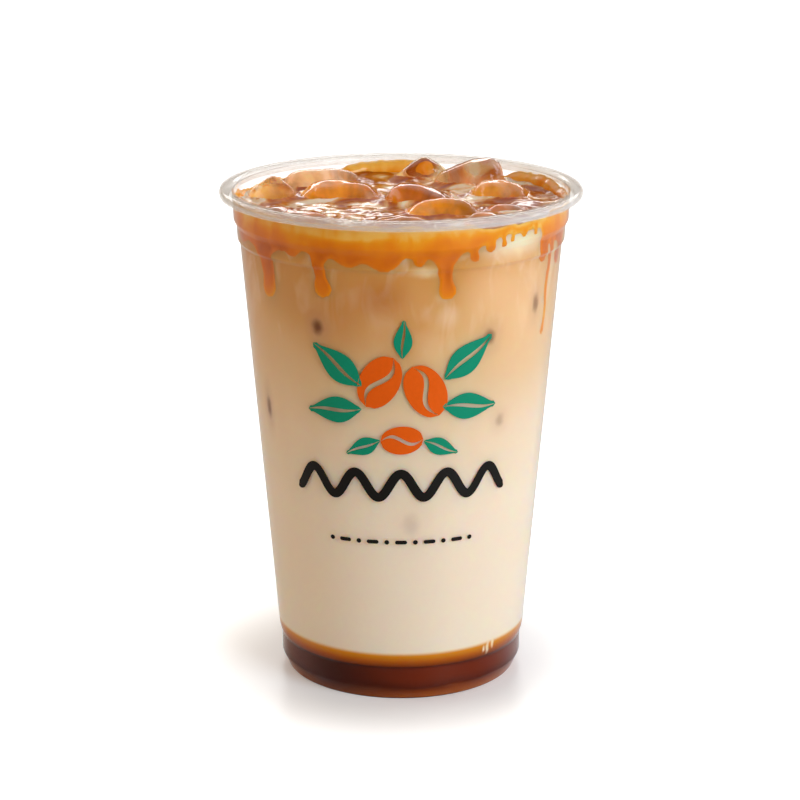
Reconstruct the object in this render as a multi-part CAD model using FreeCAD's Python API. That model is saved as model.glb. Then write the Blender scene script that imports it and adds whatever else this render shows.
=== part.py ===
import FreeCAD, Part
import math
import os
from collections import namedtuple

# Iced caramel macchiato in a clear thermoformed cup.
# Millimetres, +Z up. The origin is on the cup's axis, on the face that it stands on.
# Bearings are in degrees round the axis: 0 is the front (-Y), 90 is the right (+X).

# Cup: outside sizes, from the foot up. Steps and insets are level distances
wall = 0.45
foot_radius = 31.9
foot_ring_width = 3.4
punt_height = 1.6
punt_slope = 1.2
chamfer_height = 3.85
chamfer_width = 1.7
groove_height = 9.3
corner_height = 11.2
corner_step = 0.75
rim_height = 135.9
rim_diameter = 98.0
rim_roll_width = 3.85
rim_roll_height = 2.6
rim_lip_width = 2.15

# Cup: the collar under the rim, as drops from the rim's top and steps in from its edge
shoulder_drop = 14.6
ledge_rise = 0.9
ledge_width = 0.67
collar_flare = 0.2
collar_step_drop = 9.9
collar_rise = 1.6
collar_step = 1.0
rim_overhang = 3.7

# Cup: corner radii on the outside
punt_fillet = 1.0
foot_fillet = 0.7
chamfer_fillet = 1.2
groove_fillet = 0.8
corner_fillet = 8.0
collar_fillet = 0.9
rim_fillet = 0.6
smallest_fillet = 0.4

# Drink: the heights where one layer ends and the next begins
syrup_top = 10.0
blend_top = 13.9
milk_top = 66.0
drink_below_rim = 5.6

# Caramel on the inside of the wall, above and below the drink's surface
caramel_thickness = 1.1
caramel_above_drink = 1.9
caramel_below_drink = 3.2
# A drip has a neck and a round bulb; its run is how far it reaches below the drink's surface
Drip = namedtuple("Drip", "bearing width run bulb")
drips = [
    Drip(-54.0, 8.0, 20.5, 6.0),
    Drip(-39.5, 3.0, 5.5, 3.0),
    Drip(-28.5, 4.2, 18.0, 5.4),
    Drip(-18.0, 7.0, 7.0, 6.0),
    Drip(-6.5, 8.5, 7.4, 7.0),
    Drip(4.0, 6.0, 6.2, 5.0),
    Drip(15.5, 5.4, 16.4, 5.6),
    Drip(26.0, 3.6, 5.2, 3.4),
    Drip(58.5, 4.4, 14.2, 3.4),
    Drip(65.0, 2.6, 31.0, 2.4),
    Drip(71.0, 4.6, 8.6, 4.4),
    Drip(92.0, 5.5, 15.0, 6.0),
    Drip(112.0, 8.0, 7.5, 7.0),
    Drip(131.0, 4.6, 21.0, 5.6),
    Drip(158.0, 7.5, 8.5, 6.6),
    Drip(178.0, 5.0, 17.5, 6.0),
    Drip(203.0, 9.0, 7.0, 7.4),
    Drip(226.0, 4.2, 24.0, 5.2),
    Drip(247.0, 7.0, 8.0, 6.4),
    Drip(271.0, 5.2, 13.5, 6.0),
    Drip(289.0, 8.0, 6.6, 7.0),
]

# Ice that stands out of the drink. A cube's inset is how far its middle stands in from the
# free edge, its turn is about the vertical, it tilts down towards the bearing lean, and its
# rise is how far its highest point stands over the drink
Cube = namedtuple("Cube", "bearing inset length width height melt turn tilt lean rise")
ice_clearance = 0.35
headroom = 8.0
ice_cubes = [
    Cube(-145.0, 4.8, 24.0, 11.5, 13.0, 4.5, 33.0, 5.0, 180.0, 3.9),
    Cube(-107.0, 6.5, 11.0, 10.0, 13.0, 2.4, 46.0, 24.0, 5.0, 5.2),
    Cube(-126.0, 22.6, 23.0, 16.0, 14.0, 6.0, 4.0, 4.0, 0.0, 3.7),
    Cube(149.0, 34.3, 18.0, 16.0, 14.0, 3.6, -8.0, 10.0, 90.0, 4.3),
    Cube(170.0, 4.8, 7.0, 7.0, 12.0, 2.6, 10.0, 14.0, 0.0, 6.0),
    Cube(148.0, 6.5, 20.0, 11.0, 13.0, 3.4, -14.0, 15.0, -90.0, 7.0),
    Cube(117.0, 13.0, 17.0, 13.0, 14.0, 4.2, -12.0, 8.0, 40.0, 3.7),
    Cube(46.0, 27.8, 21.0, 13.0, 14.0, 5.6, 3.0, 6.0, 0.0, 3.3),
    Cube(74.0, 14.3, 12.0, 10.0, 12.0, 4.0, 25.0, 7.0, 60.0, 1.8),
    Cube(43.0, 7.8, 17.0, 13.0, 14.0, 4.0, 38.0, 6.0, 100.0, 3.2),
    Cube(0.0, 10.4, 18.0, 13.0, 14.0, 4.0, 3.0, 7.0, 200.0, 3.6),
    Cube(-74.0, 7.4, 12.0, 11.0, 13.0, 3.6, 75.0, 6.0, 240.0, 1.3),
    Cube(-42.0, 6.1, 14.0, 12.0, 13.0, 3.8, -45.0, 9.0, 240.0, 3.2),
]

drink_level = rim_height - drink_below_rim
band_radius = foot_radius + chamfer_width
taper_low_radius = band_radius + corner_step
upper_collar_radius = rim_diameter / 2 - rim_overhang
lower_collar_radius = upper_collar_radius - collar_step
shoulder_height = rim_height - shoulder_drop
collar_step_height = rim_height - collar_step_drop
axis_start = FreeCAD.Vector(0, 0, 0)
up = FreeCAD.Vector(0, 0, 1)


def wall_corners():
    """Corners (radius, height, fillet) of the cup's outside, from the axis up into the rim's roll."""
    return [
        (0.0, punt_height, 0.0),
        (foot_radius - foot_ring_width - punt_slope, punt_height, punt_fillet),
        (foot_radius - foot_ring_width, 0.0, foot_fillet),
        (foot_radius, 0.0, foot_fillet),
        (band_radius, chamfer_height, chamfer_fillet),
        (band_radius, groove_height, groove_fillet),
        (taper_low_radius, corner_height, corner_fillet),
        (lower_collar_radius - ledge_width, shoulder_height, collar_fillet),
        (lower_collar_radius, shoulder_height + ledge_rise, collar_fillet),
        (lower_collar_radius + collar_flare, collar_step_height, collar_fillet),
        (upper_collar_radius, collar_step_height + collar_rise, collar_fillet),
        (rim_diameter / 2 - rim_roll_width + wall, rim_height - wall, rim_fillet),
    ]


def roll_corners():
    """The corners that follow, round the inside of the rim's hollow roll to its lip."""
    roll_radius = rim_diameter / 2 - wall
    lip_height = rim_height - rim_roll_height + wall
    return [
        (roll_radius, rim_height - wall, rim_fillet),
        (roll_radius, lip_height, rim_fillet),
        (roll_radius - rim_lip_width, lip_height, 0.0),
    ]


def shift_line(start, end, distance):
    """The line from start to end, moved sideways to its left by distance."""
    along = (end - start).normalize()
    left = FreeCAD.Vector(-along.y, along.x, 0) * distance
    return start + left, along


def meet(first, second):
    """The point where two lines, each a point and a direction, cross."""
    (point, along), (other, across) = first, second
    turn = along.x * across.y - along.y * across.x
    gap = other - point
    return point + along * ((gap.x * across.y - gap.y * across.x) / turn)


def inset_corners(corners, distance):
    """The same path moved to its left, so that fillets keep their centres."""
    points = [FreeCAD.Vector(radius, height, 0) for radius, height, fillet in corners]
    lines = [shift_line(start, end, distance) for start, end in zip(points, points[1:])]
    shifted = [lines[0][0]]
    for first, second in zip(lines, lines[1:]):
        shifted.append(meet(first, second))
    last_length = (points[-1] - points[-2]).Length
    shifted.append(lines[-1][0] + lines[-1][1] * last_length)
    result = []
    for index, (point, corner) in enumerate(zip(shifted, corners)):
        fillet = corner[2]
        if 0 < index < len(corners) - 1:
            along, across = lines[index - 1][1], lines[index][1]
            turns_left = along.x * across.y - along.y * across.x > 0
            fillet += -distance if turns_left else distance
            if fillet < smallest_fillet:
                fillet = 0.0
        result.append((point.x, point.y, fillet))
    return result


def rounded_edges(corners):
    """Lines and arcs along the corners, in the XZ plane."""
    points = [FreeCAD.Vector(radius, 0, height) for radius, height, fillet in corners]
    edges = []
    pen = points[0]
    for index in range(1, len(points) - 1):
        before = (points[index - 1] - points[index]).normalize()
        after = (points[index + 1] - points[index]).normalize()
        fillet = corners[index][2]
        if fillet > 0:
            half = before.getAngle(after) / 2
            reach = fillet / math.tan(half)
            start = points[index] + before * reach
            end = points[index] + after * reach
            middle_way = (before + after).normalize()
            middle = points[index] + middle_way * (fillet / math.sin(half) - fillet)
            edges.append(Part.LineSegment(pen, start).toShape())
            edges.append(Part.Arc(start, middle, end).toShape())
            pen = end
        else:
            edges.append(Part.LineSegment(pen, points[index]).toShape())
            pen = points[index]
    edges.append(Part.LineSegment(pen, points[-1]).toShape())
    return edges


def revolve(edges):
    """The solid made by turning a closed outline in the XZ plane round the axis."""
    face = Part.Face(Part.Wire(Part.__sortEdges__(edges)))
    solid = face.revolve(axis_start, up, 360)
    return Part.Solid(solid) if solid.ShapeType != "Solid" else solid


def line(start, end):
    """A straight edge between two places that begin with their radius and height."""
    first = FreeCAD.Vector(start[0], 0, start[1])
    last = FreeCAD.Vector(end[0], 0, end[1])
    return Part.LineSegment(first, last).toShape()


def make_cup():
    """The shell: the outside path, the same path drawn in by the wall, and the lip's edge."""
    outside = wall_corners() + roll_corners()
    inside = inset_corners(outside, wall)
    edges = rounded_edges(outside) + rounded_edges(inside)
    edges.append(line(outside[0], inside[0]))
    edges.append(line(outside[-1], inside[-1]))
    return revolve(edges)


def room_inside(clear_of_wall):
    """The space inside the wall, drawn in by clear_of_wall and carried up past the rim."""
    corners = inset_corners(wall_corners() + roll_corners(), wall + clear_of_wall)
    corners = corners[:len(wall_corners())]
    top = rim_height + headroom
    corners.append((corners[-1][0], top, 0.0))
    corners[-2] = corners[-2][:2] + (0.0,)
    edges = rounded_edges(corners)
    edges.append(line(corners[-1], (0.0, top)))
    edges.append(line((0.0, top), corners[0]))
    return revolve(edges)


def slab(low, high):
    """A wide disc between two heights."""
    return Part.makeCylinder(rim_diameter, high - low, FreeCAD.Vector(0, 0, low))


def towards(bearing):
    """The level direction that a bearing points in."""
    angle = math.radians(bearing)
    return FreeCAD.Vector(math.sin(angle), -math.cos(angle), 0)


def make_drip(drip):
    """A straight neck and a round bulb, pushed out through the wall at the drip's bearing."""
    outward = towards(drip.bearing)
    depth = rim_diameter / 2
    bulb_centre = outward * (taper_low_radius / 2)
    bulb_centre.z = drink_level - drip.run + drip.bulb / 2
    neck_height = drip.run - drip.bulb / 2
    neck = Part.makeBox(depth, drip.width, neck_height, FreeCAD.Vector(0, -drip.width / 2, 0))
    neck.rotate(axis_start, up, math.degrees(math.atan2(outward.y, outward.x)))
    neck.translate(bulb_centre)
    return neck.fuse(Part.makeCylinder(drip.bulb / 2, depth, bulb_centre, outward))


def make_caramel_ring(room):
    """The coat of caramel between the wall and the drink, with its drips."""
    top = drink_level + caramel_above_drink
    skin = room.cut(room_inside(caramel_thickness))
    outline = slab(drink_level - caramel_below_drink, top)
    for drip in drips:
        outline = outline.fuse(make_drip(drip))
    return skin.common(outline)


def make_cube(cube, free_radius, grow):
    """One ice cube in its place, larger by grow all round, with its edges melted round."""
    size = [side + 2 * grow for side in (cube.length, cube.width, cube.height)]
    shape = Part.makeBox(*size, FreeCAD.Vector(*[-side / 2 for side in size]))
    shape = shape.makeFillet(cube.melt + grow, shape.Edges)
    shape.rotate(axis_start, up, cube.turn)
    shape.rotate(axis_start, towards(cube.lean + 90), cube.tilt)
    where = towards(cube.bearing) * (free_radius - cube.inset)
    where.z = drink_level + cube.rise + grow - shape.optimalBoundingBox().ZMax
    shape.translate(where)
    return shape


def make_ice():
    """All the cubes, each trimmed clear of the caramel and of the cubes before it."""
    clear_of_wall = caramel_thickness + ice_clearance
    room = room_inside(clear_of_wall)
    free_radius = upper_collar_radius - wall - clear_of_wall
    placed = []
    grown = []
    for cube in ice_cubes:
        shape = make_cube(cube, free_radius, 0).common(room)
        for neighbour in grown:
            if shape.BoundBox.intersect(neighbour.BoundBox):
                shape = shape.cut(neighbour)
        placed.append(largest_solid(shape))
        grown.append(make_cube(cube, free_radius, ice_clearance))
    return placed


def largest_solid(shape):
    """The main piece of a shape, without the crumbs that a cut can leave."""
    return max(shape.Solids, key=lambda solid: solid.Volume)


def make_drink(room, caramel_ring, ice):
    """The layers of the drink from the floor up, cut round the caramel and the ice."""
    heights = [0.0, syrup_top, blend_top, milk_top, drink_level]
    names = ["caramel_syrup", "caramel_blend", "milk", "coffee"]
    layers = {}
    for name, low, high in zip(names, heights, heights[1:]):
        layer = room.common(slab(low, high))
        for solid in [caramel_ring] + ice:
            if layer.BoundBox.intersect(solid.BoundBox):
                layer = layer.cut(solid)
        layers[name] = largest_solid(layer)
    return layers


def main():
    room = room_inside(0.0)
    ring = largest_solid(make_caramel_ring(room))
    ice = make_ice()
    nodes = {"cup": make_cup(), "caramel_ring": ring}
    nodes.update(make_drink(room, ring, ice))
    for index, cube in enumerate(ice):
        nodes["ice_%02d" % (index + 1)] = cube
    os.makedirs("parts", exist_ok=True)
    for name, shape in nodes.items():
        shape.exportStep("parts/%s.step" % name)
        print(name, shape.isValid(), len(shape.Solids), round(shape.Volume, 1))


main()
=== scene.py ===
import math

import bpy
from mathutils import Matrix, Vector, noise
from mathutils.bvhtree import BVHTree


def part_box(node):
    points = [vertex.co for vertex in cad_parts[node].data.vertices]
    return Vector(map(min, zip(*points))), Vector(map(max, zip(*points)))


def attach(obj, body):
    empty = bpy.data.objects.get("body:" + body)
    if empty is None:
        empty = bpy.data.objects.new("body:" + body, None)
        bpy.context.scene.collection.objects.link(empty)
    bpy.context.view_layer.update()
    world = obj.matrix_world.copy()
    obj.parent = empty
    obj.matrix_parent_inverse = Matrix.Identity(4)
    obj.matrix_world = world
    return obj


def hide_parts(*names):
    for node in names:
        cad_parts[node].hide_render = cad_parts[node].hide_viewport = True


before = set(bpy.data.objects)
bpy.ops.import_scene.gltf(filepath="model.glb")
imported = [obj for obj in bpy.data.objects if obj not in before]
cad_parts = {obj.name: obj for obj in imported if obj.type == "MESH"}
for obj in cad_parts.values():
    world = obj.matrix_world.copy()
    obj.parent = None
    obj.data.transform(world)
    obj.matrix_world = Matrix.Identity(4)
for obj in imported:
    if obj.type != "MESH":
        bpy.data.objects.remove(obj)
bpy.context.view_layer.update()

mm = 0.001
mergeDistance = 0.002 * mm
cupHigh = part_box("cup")[1]
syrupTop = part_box("caramel_syrup")[1].z
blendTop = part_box("caramel_blend")[1].z
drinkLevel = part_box("coffee")[1].z
rimRadius = cupHigh.x
rimHeight = cupHigh.z
print("frame loaded")


def srgb(hexColour):
    # An sRGB hex colour as the linear colour that a shader takes
    parts = [int(hexColour[i:i + 2], 16) / 255 for i in (0, 2, 4)]
    return [c / 12.92 if c <= 0.04045 else ((c + 0.055) / 1.055) ** 2.4 for c in parts] + [1.0]


def outputOf(source):
    # A node stands for its first output
    return source.outputs[0] if hasattr(source, "outputs") else source


def addNode(tree, kind, settings=None, links=None, **properties):
    # Settings are input values, and links are nodes or outputs that go to inputs
    node = tree.nodes.new(kind)
    for key, value in properties.items():
        setattr(node, key, value)
    for key, value in (settings or {}).items():
        node.inputs[key].default_value = value
    for key, source in (links or {}).items():
        tree.links.new(outputOf(source), node.inputs[key])
    return node


def newMaterial(name):
    # An empty material, its tree, and the place on the piece that its patterns are drawn at
    material = bpy.data.materials.new(name)
    material.use_nodes = True
    tree = material.node_tree
    tree.nodes.clear()
    return material, tree, addNode(tree, "ShaderNodeTexCoord").outputs["Object"]


def onlySelect(piece):
    bpy.ops.object.select_all(action="DESELECT")
    piece.select_set(True)
    bpy.context.view_layer.objects.active = piece


def smoothStep(low, high, value):
    t = min(max((value - low) / (high - low), 0.0), 1.0)
    return t * t * (3 - 2 * t)


def mix(a, b, t):
    return a + (b - a) * t


def bearingPlace(bearing, radius, height):
    # Bearings are in degrees round the cup: 0 is the front and 90 is the right
    angle = math.radians(bearing)
    return Vector((math.sin(angle) * radius, -math.cos(angle) * radius, height))


def bearingOf(place):
    return math.degrees(math.atan2(place.x, -place.y))


def turnBetween(a, b):
    # The smaller way round from bearing b to bearing a
    return (a - b + 180) % 360 - 180


# The cup's outline, in mm and degrees: heights are from the foot up and drops from the rim down
cup = {
    "wall": 0.45, "footRadius": 31.9, "footRing": 3.4, "puntHeight": 1.6, "puntSlope": 1.2,
    "chamferHeight": 3.85, "chamferWidth": 1.7, "grooveHeight": 9.3, "cornerHeight": 11.2,
    "cornerStep": 0.75, "shoulderDrop": 14.6, "ledgeRise": 0.9, "ledgeWidth": 0.67,
    "collarFlare": 0.2, "collarStepDrop": 9.9, "collarRise": 1.6, "collarStep": 1.0,
    "rimOverhang": 3.7, "rollWidth": 3.85, "rollHeight": 2.6, "lipWidth": 2.15,
    "steps": 192, "arcStep": 18.0, "wallCorners": 12, "mistFrom": 1.6, "mistTo": 3.4,
}


def cupCorners():
    # Corners (radius, height, fillet) in mm of the outside, and on round the inside of the roll
    c = cup
    rim, top = rimRadius / mm, rimHeight / mm
    band = c["footRadius"] + c["chamferWidth"]
    upper = rim - c["rimOverhang"]
    lower = upper - c["collarStep"]
    shoulder, step = top - c["shoulderDrop"], top - c["collarStepDrop"]
    foot = c["footRadius"] - c["footRing"]
    return [
        (0.0, c["puntHeight"], 0.0),
        (foot - c["puntSlope"], c["puntHeight"], 1.0),
        (foot, 0.0, 0.7),
        (c["footRadius"], 0.0, 0.7),
        (band, c["chamferHeight"], 1.2),
        (band, c["grooveHeight"], 0.8),
        (band + c["cornerStep"], c["cornerHeight"], 8.0),
        (lower - c["ledgeWidth"], shoulder, 0.9),
        (lower, shoulder + c["ledgeRise"], 0.9),
        (lower + c["collarFlare"], step, 0.9),
        (upper, step + c["collarRise"], 0.9),
        (rim - c["rollWidth"] + c["wall"], top - c["wall"], 0.6),
        (rim - c["wall"], top - c["wall"], 0.6),
        (rim - c["wall"], top - c["rollHeight"] + c["wall"], 0.6),
        (rim - c["wall"] - c["lipWidth"], top - c["rollHeight"] + c["wall"], 0.0),
    ]


def outlinePoints(corners, inset):
    # The corners rounded by their fillets, moved to the left of the way by the inset
    points = [Vector((r, z)) for r, z, fillet in corners]
    outline = []
    for i, point in enumerate(points):
        before = (point - points[i - 1]).normalized() if i else (points[1] - point).normalized()
        after = (points[i + 1] - point).normalized() if i + 1 < len(points) else before
        leftBefore = Vector((-before.y, before.x))
        turn = before.angle_signed(after) if (before - after).length > 1e-6 else 0.0
        fillet = corners[i][2]
        if fillet == 0.0:
            outline.append(point + leftBefore * inset)
            continue
        reach = fillet * math.tan(abs(turn) / 2)
        side = -1 if turn > 0 else 1
        centre = point - before * reach + leftBefore * fillet * side
        count = max(2, round(math.degrees(abs(turn)) / cup["arcStep"]) + 1)
        for k in range(count + 1):
            angle = -turn * k / count
            left = Vector((
                leftBefore.x * math.cos(angle) - leftBefore.y * math.sin(angle),
                leftBefore.x * math.sin(angle) + leftBefore.y * math.cos(angle)))
            outline.append(centre - left * fillet * side + left * inset)
    return [(p.x * mm, p.y * mm) for p in outline]


outerWall = outlinePoints(cupCorners(), 0.0)
innerWall = outlinePoints(cupCorners()[:cup["wallCorners"]], cup["wall"])


def radiusOn(wall, height):
    # The radius of a wall at a height, read from its outline
    for (r1, z1), (r2, z2) in zip(wall, wall[1:]):
        if z1 <= height <= z2 and z2 > z1:
            return mix(r1, r2, (height - z1) / (z2 - z1))
    return wall[-1][0]


def lathe(name, outline, steps):
    # One vertex is extruded along a closed outline, which is then spun round the cup's axis
    bpy.ops.object.select_all(action="DESELECT")
    bpy.ops.mesh.primitive_plane_add(size=mm, location=(0, 0, 0))
    piece = bpy.context.object
    piece.name = piece.data.name = name
    bpy.ops.object.mode_set(mode="EDIT")
    bpy.ops.mesh.merge(type="CENTER")
    pen = Vector((0, 0, 0))
    for i, (r, z) in enumerate(outline):
        move = Vector((r, 0, z)) - pen
        pen = Vector((r, 0, z))
        if i == 0:
            bpy.ops.transform.translate(value=move)
        else:
            bpy.ops.mesh.extrude_region_move(TRANSFORM_OT_translate={"value": move})
    bpy.ops.mesh.select_all(action="SELECT")
    bpy.ops.mesh.spin(steps=steps, angle=math.tau, center=(0, 0, 0), axis=(0, 0, 1))
    bpy.ops.mesh.select_all(action="SELECT")
    bpy.ops.mesh.remove_doubles(threshold=mergeDistance)
    bpy.ops.mesh.normals_make_consistent(inside=False)
    bpy.ops.object.mode_set(mode="OBJECT")
    return piece


def finishPiece(piece, materials, replaced=()):
    # Every piece rides on the one body, gets its materials and hides the solids that it stands for
    chosen = [face.material_index for face in piece.data.polygons]
    piece.data.materials.clear()
    for material in materials:
        piece.data.materials.append(material)
    piece.data.polygons.foreach_set("material_index", chosen)
    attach(piece, "root")
    if replaced:
        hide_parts(*replaced)
    return piece


def eitherRay(tree, path, first, second):
    # 1 where a ray is of either kind
    return addNode(tree, "ShaderNodeMath", links={
        0: path.outputs[first], 1: path.outputs[second]}, operation="MAXIMUM")


def letLightThrough(tree, surface, tint):
    # Shadow rays and bounced light pass straight through, so that what lies behind is lit
    path = addNode(tree, "ShaderNodeLightPath")
    either = eitherRay(tree, path, "Is Shadow Ray", "Is Diffuse Ray")
    clear = addNode(tree, "ShaderNodeBsdfTransparent", {"Color": tint})
    mixed = addNode(tree, "ShaderNodeMixShader", links={0: either, 1: surface, 2: clear})
    addNode(tree, "ShaderNodeOutputMaterial", links={"Surface": mixed})


def thermoformedPet():
    # PET, drawn over a mould from a clear sheet: glossy and faintly uneven
    material, tree, place = newMaterial("petClearThermoformed")
    uneven = addNode(tree, "ShaderNodeTexNoise", {"Scale": 1 / (9 * mm), "Detail": 2.0},
                     {"Vector": place})
    rough = addNode(tree, "ShaderNodeMapRange", {"To Min": 0.01, "To Max": 0.05},
                    {"Value": uneven})
    bump = addNode(tree, "ShaderNodeBump", {"Strength": 0.2, "Distance": 0.12 * mm},
                   {"Height": uneven})
    height = addNode(tree, "ShaderNodeSeparateXYZ", links={0: place}).outputs["Z"]
    # Over the drink the wall is misted, which makes it a little milky
    mist = addNode(tree, "ShaderNodeMapRange", {
        "From Min": drinkLevel + cup["mistFrom"] * mm,
        "From Max": drinkLevel + cup["mistTo"] * mm, "To Min": 1.0, "To Max": 0.82},
        {"Value": height})
    plastic = addNode(tree, "ShaderNodeBsdfPrincipled", {
        "Base Color": srgb("F9F9F8"), "IOR": 1.5, "Specular Tint": srgb("8C8C8C")}, {
        "Roughness": rough, "Normal": bump,
        "Transmission Weight": mist})
    letLightThrough(tree, plastic, srgb("FBFBFA"))
    return material


def rolledPet():
    # The same sheet where heat has rolled it up at the rim: milky, and denser towards its edges,
    # where the eye looks through more of it
    material, tree, place = newMaterial("petMilkyRolledRim")
    streaks = addNode(tree, "ShaderNodeTexNoise", {"Scale": 1 / (6 * mm), "Detail": 3.0},
                      {"Vector": place})
    clear = addNode(tree, "ShaderNodeMapRange", {"To Min": 0.2, "To Max": 0.5},
                    {"Value": streaks})
    plastic = addNode(tree, "ShaderNodeBsdfPrincipled", {
        "Base Color": srgb("F0F7FF"), "IOR": 1.5, "Roughness": 0.1}, {
        "Transmission Weight": clear})
    facing = addNode(tree, "ShaderNodeLayerWeight", {"Blend": 0.5}).outputs["Facing"]
    seenThrough = addNode(tree, "ShaderNodeMapRange", {
        "From Min": 0.55, "To Min": 0.75, "To Max": 0.5}, {"Value": facing})
    behind = addNode(tree, "ShaderNodeBsdfTransparent", {"Color": srgb("F8F7F5")})
    sheet = addNode(tree, "ShaderNodeMixShader", links={0: seenThrough, 1: plastic, 2: behind})
    letLightThrough(tree, sheet, srgb("F6F5F3"))
    return material


def makeCup():
    inside = outlinePoints(cupCorners(), cup["wall"])
    shell = lathe("cupShell", outerWall + inside[::-1], cup["steps"])
    rollFloor = rimHeight - (cup["rollHeight"] + 0.05) * mm
    for face in shell.data.polygons:
        face.material_index = 1 if face.center.z > rollFloor else 0
    onlySelect(shell)
    bpy.ops.object.shade_smooth_by_angle(angle=math.radians(30))
    return finishPiece(shell, [thermoformedPet(), rolledPet()], ["cup"])


makeCup()
print("cup made")

# Ice, in mm: each cube is the CAD cube remeshed, melted smooth and roughened a little. What
# stands out of the drink is domed, fully on cubes over twice domeHalf wide, and a peak's top and
# foot are as many times as wide
ice = {
    "voxel": 0.5, "smoothing": 16, "smoothFactor": 0.6, "waves": 0.5, "waveLength": 8.0,
    "dimples": 0.10, "dimpleLength": 2.6, "dome": 1.3, "domeHalf": 8.0, "domeLevel": 0.45,
    "domeStart": 2.0, "peaks": {"ice_05": (0.75, 2.5)},
}


def meltedIce():
    # Water ice, frozen in trays and melting: clear, wet and cloudy in places
    material, tree, place = newMaterial("iceMeltingClear")
    waves = addNode(tree, "ShaderNodeTexNoise", {"Scale": 1 / (3.5 * mm), "Detail": 2.0},
                    {"Vector": place})
    bump = addNode(tree, "ShaderNodeBump", {"Strength": 0.35, "Distance": 0.25 * mm},
                   {"Height": waves})
    # Cloudy cores: soft patches a few millimetres across
    cloud = addNode(tree, "ShaderNodeTexNoise", {"Scale": 1 / (6 * mm), "Detail": 1.0},
                    {"Vector": place})
    clear = addNode(tree, "ShaderNodeMapRange", {
        "From Min": 0.55, "From Max": 0.75, "To Min": 1.0, "To Max": 0.82},
        {"Value": cloud})
    solid = addNode(tree, "ShaderNodeBsdfPrincipled", {
        "Base Color": srgb("FDF3E6"), "IOR": 1.31, "Roughness": 0.03}, {
        "Normal": bump, "Transmission Weight": clear})
    letLightThrough(tree, solid, srgb("FCF4EA"))
    return material


def makeIce():
    material = meltedIce()
    trees = []
    for node in sorted(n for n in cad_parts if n.startswith("ice_")):
        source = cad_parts[node]
        piece = bpy.data.objects.new(node.replace("ice_", "iceCube"), source.data.copy())
        bpy.context.scene.collection.objects.link(piece)
        onlySelect(piece)
        bpy.ops.object.mode_set(mode="EDIT")
        bpy.ops.mesh.select_all(action="SELECT")
        bpy.ops.mesh.remove_doubles(threshold=mergeDistance)
        bpy.ops.object.mode_set(mode="OBJECT")
        remesh = piece.modifiers.new("remesh", "REMESH")
        remesh.mode = "VOXEL"
        remesh.voxel_size = ice["voxel"] * mm
        bpy.ops.object.modifier_apply(modifier=remesh.name)
        smooth = piece.modifiers.new("melt", "SMOOTH")
        smooth.factor = ice["smoothFactor"]
        smooth.iterations = ice["smoothing"]
        bpy.ops.object.modifier_apply(modifier=smooth.name)
        normals = [vertex.normal.copy() for vertex in piece.data.vertices]
        low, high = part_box(node)
        middle, half = (low + high) / 2, (high - low) / 2
        for vertex, outward in zip(piece.data.vertices, normals):
            at = vertex.co / mm
            fromMiddle = Vector(((vertex.co.x - middle.x) / half.x,
                                 (vertex.co.y - middle.y) / half.y)).length
            out = smoothStep(drinkLevel, drinkLevel + ice["domeStart"] * mm, vertex.co.z)
            dome = ice["dome"] * mm * out * (ice["domeLevel"] - fromMiddle ** 2)
            vertex.co.z += dome * min(half.x / (ice["domeHalf"] * mm), 1)
            if node in ice["peaks"]:
                tip, foot = ice["peaks"][node]
                fromTop = min(max((high.z - vertex.co.z) / (high.z - drinkLevel), 0.0), 1.0)
                vertex.co.x = middle.x + (vertex.co.x - middle.x) * mix(tip, foot, fromTop)
            wave = noise.noise(at / ice["waveLength"]) * ice["waves"]
            dimple = noise.noise(at / ice["dimpleLength"]) * ice["dimples"]
            vertex.co += outward * (wave + dimple) * mm
        bpy.ops.object.shade_smooth()
        trees.append(BVHTree.FromPolygons([vertex.co for vertex in piece.data.vertices],
                                          [tuple(face.vertices) for face in piece.data.polygons]))
        finishPiece(piece, [material], [node])
    return trees


iceTrees = makeIce()
print("ice made")

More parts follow.
